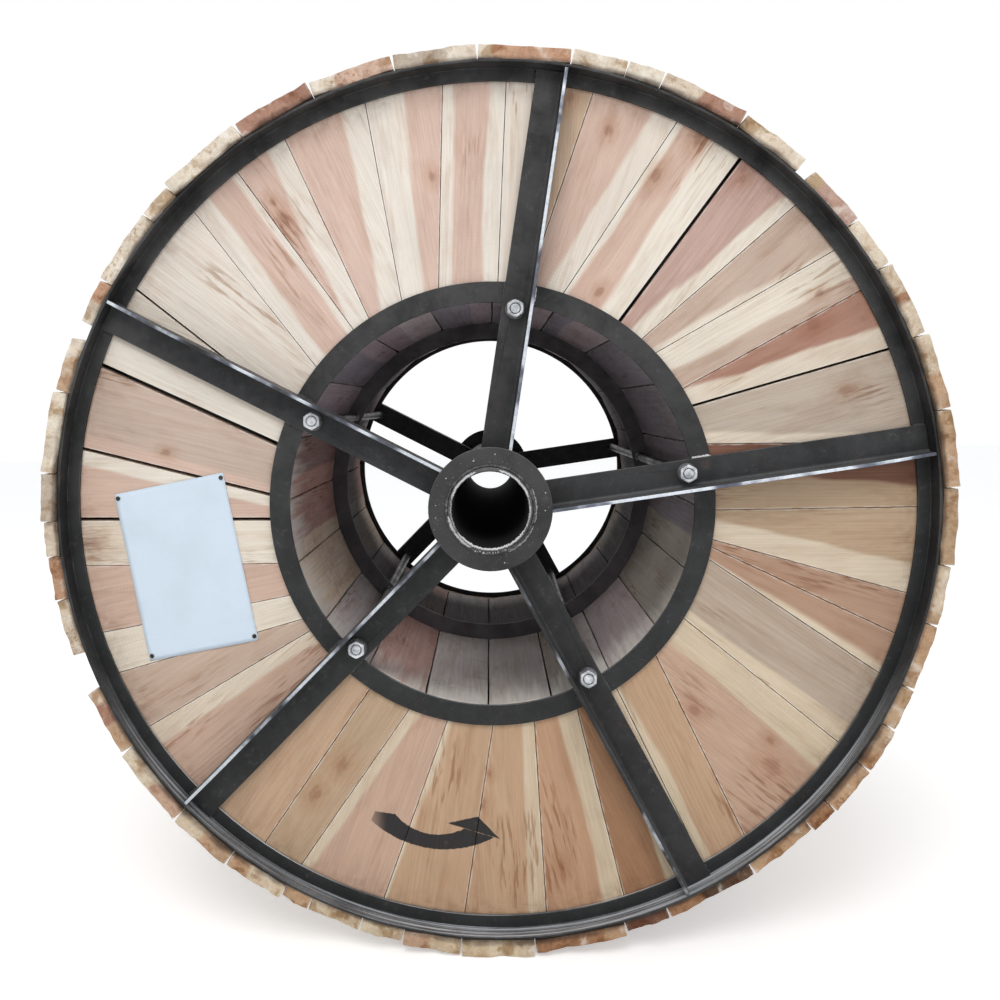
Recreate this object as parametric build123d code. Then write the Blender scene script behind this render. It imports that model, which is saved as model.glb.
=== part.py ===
from build123d import *
import os
from math import cos, pi, radians, sin, sqrt, tan

os.makedirs("parts", exist_ok=True)

# Cable drum of steel and sawn wood, full of cable and closed with lagging boards.
# It stands on its rim with its axis level along Y and its front flange toward -Y.
# Everything is drawn in the drum's own plane first: X right, Y up, Z out of the front
# flange, millimetres, origin on the axis half way along it. Angles run clockwise from up.

# Drum
face_spacing = 860.0        # between the outer faces of the flat steel of the two flanges
rim_radius = 650.0          # outside of the rolled rim
rim_leg = 23.0              # width of the rim's flat leg, with the wall
rim_steel = 4.0             # wall of the rolled rim
rim_cover = 6.0             # how far the rim runs on behind the planks
lip_height = 27.0           # lip of the rim in front of its flat leg
seat_gap = 0.3              # between round surfaces that seat on each other

# Barrel
barrel_apothem = 309.0      # axis to the inner face of a stave
ring_width = 31.0
ring_step = 6.0             # ring's inner edge inside the staves
ring_steel = 5.0
stave_thickness = 25.0
stave_count = 20
stave_phase = 1.6           # angle of the first joint between staves
stave_gap = 1.5
hoop_steel = 5.0
hoop_width = 29.0

# Flange planks
plank_thickness = 25.0
plank_play = 0.5            # free room at a plank's outer end
plank_cover = 20.0          # how far the barrel ring covers the planks' inner ends
joint_gap = 0.8
open_joints = {3: 5.0, 7: 3.5, 27: 5.0, 28: 5.0, 29: 7.0, 30: 3.0}
# The planks are sawn to fit as they come, so each joint has its own angle where it
# passes under the rim and under the barrel ring. Joints 22, 24, 25 and 31 are estimates:
# a spoke or the paper sheet hides them.
plank_joints = (
    (3.2, 3.0), (15.0, 10.6), (26.9, 20.0), (36.7, 36.0), (46.3, 43.2), (54.3, 48.2),
    (60.7, 59.6), (69.4, 64.6), (82.3, 75.0), (91.1, 92.1), (102.8, 99.7), (108.5, 101.6),
    (114.3, 104.8), (125.3, 121.3), (143.5, 133.2), (150.4, 146.5), (162.2, 158.0),
    (173.2, 169.5), (184.6, 180.3), (196.1, 192.2), (208.6, 202.5), (214.6, 214.1),
    (226.0, 222.5), (237.8, 235.9), (246.5, 239.5), (252.6, 246.5), (262.3, 255.4),
    (268.9, 267.2), (278.8, 273.6), (290.8, 286.9), (302.4, 296.5), (315.8, 309.5),
    (323.9, 323.2), (331.8, 328.1), (343.8, 337.7), (354.6, 347.7))

# Spokes of equal angle iron, set out by hand and welded
spoke_angles = (9.4, 82.5, 152.6, 225.2, 297.8)
spoke_leg = 45.0
spoke_steel = 5.0
spoke_root_radius = 5.0
spoke_heel = 19.0           # radial line to the back of the standing leg
spoke_taper = 95.0          # length over which the standing leg comes down at the rim
spoke_end_gap = 1.0

# Hub
hub_bore_radius = 55.0
tube_wall = 6.0
tube_proud = 4.0            # tube end in front of the hub plate
hub_plate_radius = 90.0
hub_plate_thickness = 8.0

# Tie rods
rod_radius = 8.0
rod_hole_play = 1.0
washer_radius = 15.0
washer_thickness = 3.0
nut_width = 24.0            # across flats
nut_height = 13.0
head_height = 10.0

# Lagging boards and straps
# Angle at which each board starts. The boards are of all widths, and the drum stands on
# the one that starts at 175.2.
board_starts = (
    11.3, 18.3, 22.9, 34.0, 44.8, 52.8, 59.4, 69.0, 78.6, 88.4, 98.2, 105.9, 114.4, 119.9,
    125.8, 132.3, 136.0, 145.2, 157.4, 163.2, 175.2, 184.8, 192.5, 198.2, 205.4, 209.2,
    217.5, 226.2, 237.0, 251.0, 258.6, 264.4, 269.0, 275.3, 286.0, 295.4, 301.3, 311.3,
    315.8, 327.3, 337.8, 348.7, 359.4)
open_places = {3: 1.6, 28: 5.0, 34: 2.2}    # degrees left open after a board
board_thickness = 22.0
thin_boards = {16: 3.0, 17: 4.0, 18: 5.0, 19: 4.0}     # what a board lacks in thickness
board_gap = 2.0
board_overhang = 2.0        # mean length of a board's end in front of the lip
end_unevenness = 7.0
front_end_waves = 7
rear_end_waves = 9
strap_width = 19.0
strap_thickness = 0.8
strap_inset = 150.0         # flange face to the middle of the strap

# Cable
winding_clearance = 22.0    # between the coil and the rim's inner edge
winding_side_gap = 0.5

# Paper sheet on the front flange
sheet_margin = 60.5         # bare planks beside the sheet, to the rim and to the ring
sheet_shift = 6.5           # middle of the planks to the middle of the sheet, inward
sheet_height = 262.0
sheet_thickness = 0.5
sheet_turn = 10.4
sheet_angle = 259.3

# Radii that follow
rim_inner_radius = rim_radius - rim_leg
web_radius = rim_radius - rim_steel
ring_inner_radius = barrel_apothem - ring_step
ring_outer_radius = ring_inner_radius + ring_width
hoop_radius = barrel_apothem - seat_gap
rod_pitch_radius = hoop_radius - hoop_width / 2
tube_radius = hub_bore_radius + tube_wall
sheet_width = rim_inner_radius - ring_outer_radius - 2 * sheet_margin
sheet_radius = (rim_inner_radius + ring_outer_radius) / 2 - sheet_shift

# Heights that follow, from the plane half way along the axis to the front
face = face_spacing / 2
plank_front = face - ring_steel
plank_back = plank_front - plank_thickness
spoke_top = face + spoke_leg
hub_face = spoke_top + hub_plate_thickness
tube_end = hub_face + tube_proud
lip_top = face + lip_height


def write(name, *solids):
    """Stand the solids up on the rim and write them as one sub-part."""
    group = solids[0] if len(solids) == 1 else Compound(list(solids))
    export_step(Rotation(90, 0, 0) * group, "parts/" + name + ".step")


def write_pair(name, *solids):
    """Write a sub-part of the front flange and its mirror image on the rear flange."""
    write(name + "_front", *solids)
    write(name + "_rear", *[mirror(solid, Plane.XY) for solid in solids])


def polar(radius, angle):
    """Point at a radius and an angle clockwise from up."""
    return (radius * sin(radians(angle)), radius * cos(radians(angle)))


def turned(angle, shape):
    """Turn a shape that points up to an angle clockwise from up."""
    return Rotation(0, 0, -angle) * shape


def prism(points, low, high):
    """Closed outline in the drum's plane, made solid between two heights."""
    outline = make_face(Polyline(*points, close=True))
    return extrude(Pos(0, 0, low) * outline, high - low)


def ring(inner, outer, low, high):
    """Plain ring about the drum's axis."""
    return extrude(Pos(0, 0, low) * (Circle(outer) - Circle(inner)), high - low)


def spin(points):
    """Turned solid from a closed outline of radius and height pairs."""
    outline = make_face(Polyline(*[(r, 0, z) for r, z in points], close=True))
    return revolve(outline, Axis.Z)


def wave(index, waves):
    """Scatter between -1 and 1 that closes on itself round the lagging boards."""
    return sin(2 * pi * waves * index / len(board_starts))


def outer_rim():
    """Rolled section: a leg over the plank ends, and a web that stands out as a lip."""
    back = plank_back - rim_cover
    return spin([
        (rim_radius, lip_top), (rim_radius, back), (web_radius, back),
        (web_radius, face - rim_steel), (rim_inner_radius, face - rim_steel),
        (rim_inner_radius, face), (web_radius, face), (web_radius, lip_top)])


def hub():
    """Spindle tube through the drum with a plate welded round each end."""
    half = [(hub_bore_radius, tube_end), (tube_radius, tube_end), (tube_radius, hub_face),
            (hub_plate_radius, hub_face), (hub_plate_radius, spoke_top), (tube_radius, spoke_top)]
    return spin(half + [(r, -z) for r, z in reversed(half)])


def joint_edge(index, side, radius):
    """Point at a radius on one side of a straight joint between flange planks."""
    outer, inner = plank_joints[index]
    start = Vector(*polar(ring_outer_radius, inner))
    along = (Vector(*polar(rim_inner_radius, outer)) - start).normalized()
    start += Vector(along.Y, -along.X) * side * open_joints.get(index, joint_gap) / 2
    middle = -start.dot(along)
    point = start + along * (middle + sqrt(middle ** 2 - start.dot(start) + radius ** 2))
    return point.X, point.Y


def plank(index):
    """Wedge of sawn board between two joints, its ends hidden by the ring and the rim."""
    following = (index + 1) % len(plank_joints)
    inner = ring_outer_radius - plank_cover
    outer = web_radius - plank_play
    return prism([joint_edge(index, 1, inner), joint_edge(index, 1, outer),
                  joint_edge(following, -1, outer), joint_edge(following, -1, inner)],
                 plank_back, plank_front)


def stave(index):
    """Barrel board with bevelled edges that butts on the planks of both flanges."""
    half_angle = pi / stave_count
    inner = barrel_apothem
    outer = barrel_apothem + stave_thickness
    half_inner = inner * tan(half_angle) - stave_gap / 2
    half_outer = outer * tan(half_angle) - stave_gap / 2
    outline = [(-half_inner, inner), (half_inner, inner), (half_outer, outer), (-half_outer, outer)]
    angle = stave_phase + 360 * (index + 0.5) / stave_count
    return turned(angle, prism(outline, -plank_back, plank_back))


def rod_place(angle):
    """Tie rod at the middle of the spoke's lying leg."""
    across = spoke_heel - spoke_steel - (spoke_leg - spoke_steel) / 2
    along = (rod_pitch_radius ** 2 - across ** 2) ** 0.5
    return Rotation(0, 0, -angle) * Pos(across, along, 0)


def spoke(angle):
    """Angle iron that lies on the rings, its standing leg cut down to pass the lip."""
    end = web_radius - spoke_end_gap
    profile = make_face(Polyline(
        (spoke_heel - spoke_leg, 0), (spoke_heel, 0), (spoke_heel, spoke_leg),
        (spoke_heel - spoke_steel, spoke_leg), (spoke_heel - spoke_steel, spoke_steel),
        (spoke_heel - spoke_leg, spoke_steel), close=True))
    root = profile.vertices().sort_by_distance((spoke_heel - spoke_steel, spoke_steel))[0]
    profile = fillet(root, spoke_root_radius)
    section = Plane(origin=(0, end, face), x_dir=(1, 0, 0), z_dir=(0, -1, 0))
    bar = extrude(section * profile, end - hub_bore_radius / 2)
    slope = make_face(Polyline(
        (end - spoke_taper, spoke_top), (end + spoke_leg, spoke_top),
        (end + spoke_leg, lip_top), (end, lip_top), close=True))
    bar -= extrude(Plane.YZ * slope, spoke_leg, both=True)
    bar -= Cylinder(tube_radius + seat_gap, 2 * tube_end)
    bar = turned(angle, bar)
    return bar - rod_place(angle) * Cylinder(rod_radius + rod_hole_play, 2 * tube_end)


def mid_hoop():
    """Flat bar rolled on edge inside the barrel, with holes that hold the tie rods."""
    hoop = ring(hoop_radius - hoop_width, hoop_radius, -hoop_steel / 2, hoop_steel / 2)
    for angle in spoke_angles:
        hoop -= rod_place(angle) * Cylinder(rod_radius + rod_hole_play, 2 * hoop_steel)
    return hoop


def tie_rod(angle):
    """Long bolt from spoke to spoke: its head behind, a washer and a nut in front."""
    seat = face + spoke_steel
    hexagon = RegularPolygon(nut_width / 2, 6, major_radius=False)
    rod = Cylinder(rod_radius, 2 * seat)
    rod += extrude(Pos(0, 0, seat) * Circle(washer_radius), washer_thickness)
    rod += extrude(Pos(0, 0, seat + washer_thickness) * hexagon, nut_height)
    rod += extrude(Pos(0, 0, -seat) * hexagon, -head_height)
    return rod_place(angle) * rod


def board_outline(index):
    """End of a lagging board, flat on the rim, and the angle at which it lies."""
    first = board_starts[index]
    following = board_starts[(index + 1) % len(board_starts)] - open_places.get(index, 0)
    last = first + (following - first) % 360
    half = rim_radius * tan(radians(last - first) / 2) - board_gap / 2
    low = rim_radius + seat_gap
    high = low + board_thickness - thin_boards.get(index, 0)
    return (first + last) / 2, [(-half, low), (half, low), (half, high), (-half, high)]


def lagging_board(index):
    angle, outline = board_outline(index)
    front = lip_top + board_overhang + end_unevenness * wave(index, front_end_waves)
    rear = lip_top + board_overhang + end_unevenness * wave(index, rear_end_waves)
    return turned(angle, prism(outline, -rear, front))


def strap():
    """Steel band pulled tight round the corners of the lagging boards."""
    ends = []
    for index in range(len(board_starts)):
        angle, outline = board_outline(index)
        ends += turned(angle, Polyline(*outline, close=True)).edges()
    inner = make_hull(ends)
    outer = offset(inner, strap_thickness, kind=Kind.INTERSECTION)
    low = face - strap_inset - strap_width / 2
    return extrude(Pos(0, 0, low) * (outer - inner), strap_width)


def cable_winding():
    """The coiled cable as one turned solid that lies on the staves."""
    bore = RegularPolygon(barrel_apothem + stave_thickness + seat_gap, stave_count, major_radius=False)
    bore = turned(stave_phase - 90, bore)
    side = plank_back - winding_side_gap
    coil = Circle(rim_inner_radius - winding_clearance) - bore
    return extrude(coil, side, both=True)


def paper_sheet():
    x, y = polar(sheet_radius, sheet_angle)
    sheet = Pos(x, y) * Rotation(0, 0, sheet_turn) * Rectangle(sheet_width, sheet_height)
    return extrude(Pos(0, 0, plank_front) * sheet, sheet_thickness)


write_pair("outer_rim", outer_rim())
write_pair("barrel_ring", ring(ring_inner_radius, ring_outer_radius, plank_front, face))
for number, spoke_angle in enumerate(spoke_angles, 1):
    solid = spoke(spoke_angle)
    write(f"spoke_front_{number}", solid)
    write(f"spoke_rear_{number}", mirror(solid, Plane.XY))
write("hub", hub())
write("mid_hoop", mid_hoop())
write("tie_rods", *[tie_rod(angle) for angle in spoke_angles])
write_pair("flange_planks", *[plank(index) for index in range(len(plank_joints))])
write("barrel_staves", *[stave(index) for index in range(stave_count)])
write("lagging_boards", *[lagging_board(index) for index in range(len(board_starts))])
write_pair("steel_strap", strap())
write("cable_winding", cable_winding())
write("paper_sheet", paper_sheet())
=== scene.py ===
import bpy
import numpy as np
from math import atan2, cos, degrees, hypot, pi, radians, sin
from mathutils import Matrix, Vector
from random import Random

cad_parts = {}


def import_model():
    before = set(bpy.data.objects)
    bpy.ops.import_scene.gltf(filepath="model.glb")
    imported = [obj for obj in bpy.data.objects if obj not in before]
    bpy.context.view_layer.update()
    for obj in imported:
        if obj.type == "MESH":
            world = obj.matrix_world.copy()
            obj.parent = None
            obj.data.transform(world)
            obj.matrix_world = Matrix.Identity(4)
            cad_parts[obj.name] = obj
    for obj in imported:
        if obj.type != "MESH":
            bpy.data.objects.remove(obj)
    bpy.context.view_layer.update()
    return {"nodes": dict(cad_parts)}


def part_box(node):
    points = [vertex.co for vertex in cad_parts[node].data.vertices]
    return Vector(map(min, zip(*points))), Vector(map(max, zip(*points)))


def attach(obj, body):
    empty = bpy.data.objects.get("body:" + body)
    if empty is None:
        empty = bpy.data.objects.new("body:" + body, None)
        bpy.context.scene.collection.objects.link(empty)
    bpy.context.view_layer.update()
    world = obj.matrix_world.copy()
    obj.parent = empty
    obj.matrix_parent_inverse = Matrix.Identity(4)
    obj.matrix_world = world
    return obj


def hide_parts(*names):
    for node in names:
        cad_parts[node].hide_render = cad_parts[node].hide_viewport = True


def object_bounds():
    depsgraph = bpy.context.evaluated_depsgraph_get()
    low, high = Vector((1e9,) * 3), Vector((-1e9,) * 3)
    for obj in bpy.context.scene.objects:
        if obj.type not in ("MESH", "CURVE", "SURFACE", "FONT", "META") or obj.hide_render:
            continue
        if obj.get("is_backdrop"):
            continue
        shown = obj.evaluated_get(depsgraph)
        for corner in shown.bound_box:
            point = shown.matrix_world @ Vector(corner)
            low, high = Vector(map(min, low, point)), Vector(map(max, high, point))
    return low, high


# Cable drum of steel and sawn wood. It stands on its rim with its axis along Y and its
# front flange toward -Y. Metres. Angles run clockwise from up, seen from the front, and
# the rear flange is the front one's mirror image.

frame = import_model()
nodes = frame["nodes"]

# Drum, as in the CAD
rim_outer, rim_inner = 0.650, 0.627
ring_outer, ring_inner = 0.334, 0.303
tube_radius = 0.061
spoke_angles = (9.4, 82.5, 152.6, 225.2, 297.8)
spoke_heel, spoke_leg = 0.019, 0.045
flange_face = 0.430         # |y| of the flat steel's outer face
plank_face = 0.425
hub_face = 0.483
flanges = {"front": -1, "rear": 1}              # name and direction outward along Y

# Crossings of spoke and barrel ring where the weld is bare of paint: angle and side
bright_crossings = ((9.4, spoke_heel), (82.5, spoke_heel - spoke_leg))

# Camera, found from the rims, the rings and the nuts in the photo
camera_place = (0.00247, -1.83865, 0.15101)
camera_yaw, camera_pitch, camera_roll = 0.0468, -0.0395, -0.0202
camera_lens, camera_shift = 33.94, (0.0534, -0.0572)


# Colours

def srgb(red, green, blue):
    """Linear colour from the 0 to 255 values seen on a screen."""
    parts = [value / 255 for value in (red, green, blue)]
    return tuple(v / 12.92 if v <= 0.04045 else ((v + 0.055) / 1.055) ** 2.4 for v in parts)


# Wood tones where the drum is palest and where it is most warm. Between them the tone changes round the
# drum as painted light and shade: paler on the upper left, warmer and mostly darker on the lower right
tones = {
    "cream": ((234, 225, 214), (212, 194, 168)),
    "pale": ((237, 230, 219), (220, 206, 184)),
    "pink": ((217, 190, 176), (196, 165, 143)),
    "fawn": ((203, 183, 170), (192, 166, 145)),
    "mauve": ((202, 173, 165), (184, 152, 134)),
    "tan": ((208, 182, 158), (193, 161, 132)),
    "dun": ((190, 161, 143), (180, 147, 124)),
    "brown": ((176, 138, 116), (168, 129, 99)),
    "red": ((180, 142, 128), (168, 126, 106)),
    "dark_red": ((146, 106, 92), (122, 86, 70)),
    "olive": ((196, 175, 148), (188, 161, 134)),
    "dark_brown": ((118, 94, 78), (100, 78, 62)),
    "orange": ((208, 170, 146), (190, 153, 124)),
    "grey": ((198, 187, 176), (184, 166, 148)),
    "slate": ((152, 146, 158), (139, 132, 137)),
    "lilac": ((184, 167, 177), (196, 184, 185)),
    "ash": ((208, 196, 202), (203, 196, 193)),
    "moss": ((190, 182, 172), (171, 164, 155)),
    "rose": ((204, 157, 147), (202, 168, 161)),
    "sand": ((250, 232, 212), (232, 208, 188)),
    "umber": ((154, 125, 122), (150, 122, 116)),
}
warm_shade_angle = 155               # angle at which the wood is most warm, with painted shade


def tone(name, angle):
    """A tone at an angle round the drum, where the change with the angle is painted light and shade."""
    high, low = (np.array(srgb(*value)) for value in tones[name])
    share = (1 + cos(radians(angle - warm_shade_angle))) / 2
    return high + (low - high) * share


# Round the drum

def polar(radius, angle, y):
    return Vector((radius * sin(radians(angle)), y, radius * cos(radians(angle))))


def beside(angle, across, along, y):
    """Point beside the radial line at an angle, across it clockwise and along it."""
    a = radians(angle)
    return Vector((along * sin(a) + across * cos(a), y, along * cos(a) - across * sin(a)))


def angle_of(x, z):
    return degrees(atan2(x, z)) % 360


def turn_between(first, second):
    """Shortest turn in degrees from one angle to another."""
    return (second - first + 180) % 360 - 180


def solids_of(node):
    """Corner points of each solid of a CAD node, in order of angle round the drum."""
    mesh = nodes[node].data
    points = np.empty(len(mesh.vertices) * 3)
    mesh.vertices.foreach_get("co", points)
    corners, place = np.unique(points.reshape(-1, 3).round(5), axis=0, return_inverse=True)
    place = place.ravel()
    parent = list(range(len(corners)))

    def top(index):
        while parent[index] != index:
            parent[index] = parent[parent[index]]
            index = parent[index]
        return index

    for face in mesh.polygons:
        first, *others = [top(place[v]) for v in face.vertices]
        for other in others:
            parent[top(other)] = top(first)
    groups = {}
    for index in range(len(corners)):
        groups.setdefault(top(index), []).append(corners[index])
    found = [np.array(group) for group in groups.values()]
    return sorted(found, key=lambda group: angle_of(*group.mean(0)[[0, 2]]))


# Meshes

# Kind of a mesh attribute and the name of its values, by how many a vertex has
attribute_kinds = {1: ("FLOAT", "value"), 3: ("FLOAT_VECTOR", "vector"), 4: ("FLOAT_COLOR", "color")}


def new_object(name, data):
    """Put a mesh, a lamp or a camera into the scene."""
    piece = bpy.data.objects.new(name, data)
    bpy.context.scene.collection.objects.link(piece)
    return piece


def new_piece(name, vertices, faces, material):
    mesh = bpy.data.meshes.new(name)
    mesh.from_pydata([tuple(v) for v in vertices], [], faces)
    mesh.update()
    mesh.materials.append(material)
    mesh.polygons.foreach_set("use_smooth", [True] * len(mesh.polygons))
    return new_object(name, mesh)


def dress(piece, slot, *replaced):
    """Hand a finished piece over to the frame."""
    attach(piece, "root")
    if replaced:
        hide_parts(*replaced)


def soft_normals(piece):
    """Keep flat faces flat beside their rounded edges."""
    modifier = piece.modifiers.new("normals", "WEIGHTED_NORMAL")
    modifier.keep_sharp = True


class Mesh:
    """Gathers vertices, faces and vertex data of many blocks for one object."""

    def __init__(self):
        self.vertices = []
        self.faces = []
        self.data = {}

    def add(self, vertices, faces, **data):
        """Add a block. Its data has a value for each vertex, or one for all of them."""
        start = sum(len(part) for part in self.vertices)
        count = len(vertices)
        self.vertices.append(np.array([tuple(v) for v in vertices]))
        self.faces += [tuple(start + v for v in face) for face in faces]
        for name, value in data.items():
            if np.shape(value)[:1] != (count,):
                value = np.broadcast_to(value, (count, *np.shape(value)))
            self.data.setdefault(name, []).append(value)

    def build(self, name, material):
        piece = new_piece(name, np.concatenate(self.vertices), self.faces, material)
        for key, parts in self.data.items():
            values = np.concatenate(parts).astype(np.float32)
            kind, field = attribute_kinds[values.size // len(values)]
            layer = piece.data.attributes.new(key, kind, "POINT")
            layer.data.foreach_set(field, values.ravel())
        return piece


def quads(rows, columns, round_rows=False, round_columns=False):
    """Faces of a grid of vertices that may close round on itself either way."""
    faces = []
    for row in range(rows if round_rows else rows - 1):
        here, beyond = row * columns, (row + 1) % rows * columns
        for column in range(columns if round_columns else columns - 1):
            following = (column + 1) % columns
            faces.append((here + column, here + following, beyond + following, beyond + column))
    return faces


def tube(rows, sides):
    """Faces of a tube, closed at both ends."""
    last = (rows - 1) * sides
    caps = [tuple(reversed(range(sides))), tuple(range(last, last + sides))]
    return quads(rows, sides, round_columns=True) + caps


def flip(faces):
    return [tuple(reversed(face)) for face in faces]


def circle(sides):
    return [2 * pi * step / sides for step in range(sides)]


# Sawn boards

shells = {}
no_knot = (9.0, 9.0, 9.0)       # place relative to a knot that is out of reach


def shell(cells):
    """Places on the outside of a block of cells, and its faces, which look outward."""
    if cells in shells:
        return shells[cells]
    index = {}
    faces = []
    for axis in range(3):
        u, v = (axis + 1) % 3, (axis + 2) % 3
        for end in (0, cells[axis]):
            for i in range(cells[u]):
                for j in range(cells[v]):
                    face = []
                    for di, dj in ((0, 0), (1, 0), (1, 1), (0, 1)):
                        place = [0, 0, 0]
                        place[axis], place[u], place[v] = end, i + di, j + dj
                        face.append(index.setdefault(tuple(place), len(index)))
                    faces.append(tuple(face) if end else tuple(reversed(face)))
    shells[cells] = np.array(list(index)), faces
    return shells[cells]


def grid_line(number, cells, length, edge):
    """Place of a mesh line along a side: three lines close to each end, the rest even."""
    middle = edge + (length - 2 * edge) * (number - 2) / (cells - 4)
    near = np.where(number == 0, 0, 0.35 * edge)
    far = np.where(number == cells, length, length - 0.35 * edge)
    return np.where(number < 2, near, np.where(number > cells - 2, far, middle))


def halves(points, key):
    order = np.argsort(key, kind="stable")
    return points[order[:4]], points[order[4:]]


def block_corners(points, radial):
    """A board's eight corners by end, side and layer. Radial boards run out from the axis
    and their last layer faces out of the drum; the others run along it."""
    centre = angle_of(*points.mean(0)[[0, 2]])
    corners = np.zeros((2, 2, 2, 3))
    along = np.hypot(points[:, 0], points[:, 2]) if radial else points[:, 1]
    for end, four in enumerate(halves(points, along)):
        around = np.array([turn_between(centre, angle_of(x, z)) for x, _, z in four])
        order = np.argsort(around, kind="stable")
        for side, chosen in enumerate((order[:2], order[2:])):
            two = four[chosen]
            depth = np.abs(two[:, 1]) if radial else np.hypot(two[:, 0], two[:, 2])
            corners[end, side] = two[np.argsort(depth)]
    return corners


def blocks_from(node, radial, first):
    """Corners and angle of each board of a CAD node, from the one at an angle on."""
    blocks = [block_corners(points, radial) for points in solids_of(node)]
    angles = [angle_of(*corners.mean((0, 1, 2))[[0, 2]]) for corners in blocks]
    start = min(range(len(angles)), key=lambda i: abs(turn_between(first, angles[i])))
    return list(zip(blocks[start:] + blocks[:start], angles[start:] + angles[:start]))


def widen(corners, extra):
    """Move both sides of a board outward."""
    across = corners[:, 1] - corners[:, 0]
    across = across / np.linalg.norm(across, axis=-1, keepdims=True)
    return np.stack([corners[:, 0] - across * extra, corners[:, 1] + across * extra], 1)


def between(corners, shares):
    """Points at shares of a block's length, width and depth between its corners."""
    s, t, w = (share[:, None] for share in shares)
    points = 0
    for end, a in enumerate((1 - s, s)):
        for side, b in enumerate((1 - t, t)):
            for layer, c in enumerate((1 - w, w)):
                points = points + corners[end, side, layer] * a * b * c
    return points


def rounded(spots, limit, edge):
    """Move what lies near a box's edges in, to round them."""
    core = np.clip(spots, edge, limit - edge)
    offset = spots - core
    reach = np.linalg.norm(offset, axis=1, keepdims=True)
    return np.where(reach > 0, core + offset * edge / np.maximum(reach, 1e-9), spots)


def wavering(places, chance, longest):
    """Irregular line through places along a board, mostly between -1 and 1."""
    total = 0
    for octave in range(5):
        length = longest / 1.9 ** octave
        total = total + np.sin(2 * pi * (places / length + chance.random())) / 1.45 ** octave
    return total / 1.9


def straying(spots, limit, play, chance):
    """How far a rough board's surface strays from flat. play has how far its ends, its
    sides and its outer face do."""
    along, across, depth = spots.T
    near_end = 2 * along / limit[:, 0] - 1
    near_side = 2 * across / limit[:, 1] - 1
    left = wavering(along, chance, 0.5) - 1
    right = wavering(along, chance, 0.5) - 1
    ragged = wavering(across + 0.3 * depth, chance, 0.09) - 1
    dip = (wavering(along, chance, 0.7) - 1) * (0.4 + 0.6 * np.abs(near_side))
    return np.stack([
        np.sign(near_end) * ragged * np.abs(near_end) ** 60 * play[0] / 2,
        np.where(near_side < 0, -left, right) * np.abs(near_side) ** 3 * play[1] / 2,
        dip * (depth / limit[:, 2]) * play[2] / 2], 1)


def board(mesh, corners, cells, edge, play, look):
    """One sawn board between eight corners, with worn edges and its grain's data."""
    chance = Random(look["seed"])
    place, faces = shell(cells)
    middles = corners.mean(2)
    length = np.linalg.norm(corners[1].mean((0, 1)) - corners[0].mean((0, 1)))
    thick = np.linalg.norm(corners[:, :, 1].mean((0, 1)) - corners[:, :, 0].mean((0, 1)))
    start, end = (np.linalg.norm(middles[end, 1] - middles[end, 0]) for end in (0, 1))
    along = grid_line(place[:, 0], cells[0], length, edge)
    width = start + (end - start) * (along / length)
    across = grid_line(place[:, 1], cells[1], width, edge)
    depth = grid_line(place[:, 2], cells[2], thick, edge)
    spots = np.stack([along, across, depth], 1)
    limit = np.stack([np.full_like(along, length), width, np.full_like(along, thick)], 1)
    moved = rounded(spots, limit, edge) + straying(spots, limit, play, chance)
    points = between(corners, (moved / limit).T)
    u, v, n = (corners[spot] - corners[0, 0, 0] for spot in ((1, 0, 0), (0, 1, 0), (0, 0, 1)))
    pith = (chance.uniform(0, 9), -width.mean() / 2 + chance.uniform(-0.03, 0.03),
            chance.choice((-1, 1)) * chance.uniform(0.03, 0.09))
    inside = np.ones_like(along)
    sides = [inside if side is None else side(points) for side in look["sides"]]
    knots = [knot(points) for knot in look["knots"]] + [no_knot] * 3
    mesh.add(points, flip(faces) if np.dot(np.cross(u, v), n) < 0 else faces,
             grain=spots + pith, bounds=np.stack([*sides, inside], 1),
             heart=(*look["heart"], 1), sap=(*look["sap"], 1),
             side=np.minimum(across, width - across),
             knot_a=knots[0], knot_b=knots[1], knot_c=knots[2])


def look_of(names, angle, seed, sides, knots=()):
    """A board's tones, its seed, the lines between its heart and its sap, and its knots."""
    heart, sap = (tone(name, angle) for name in names)
    return {"heart": heart, "sap": sap, "seed": seed, "sides": sides, "knots": knots}


def boards(name, slot, node, material, blocks, looks, cells, edge, play, extra=0.0):
    """A piece of sawn boards in place of a CAD node. play has how far their ends, their
    sides and their outer face stray inward."""
    mesh = Mesh()
    for (corners, _), look in zip(blocks, looks):
        board(mesh, widen(corners, extra), cells, edge, play, look)
    piece = mesh.build(name, material)
    soft_normals(piece)
    dress(piece, slot, node)


# Shader nodes

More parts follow.
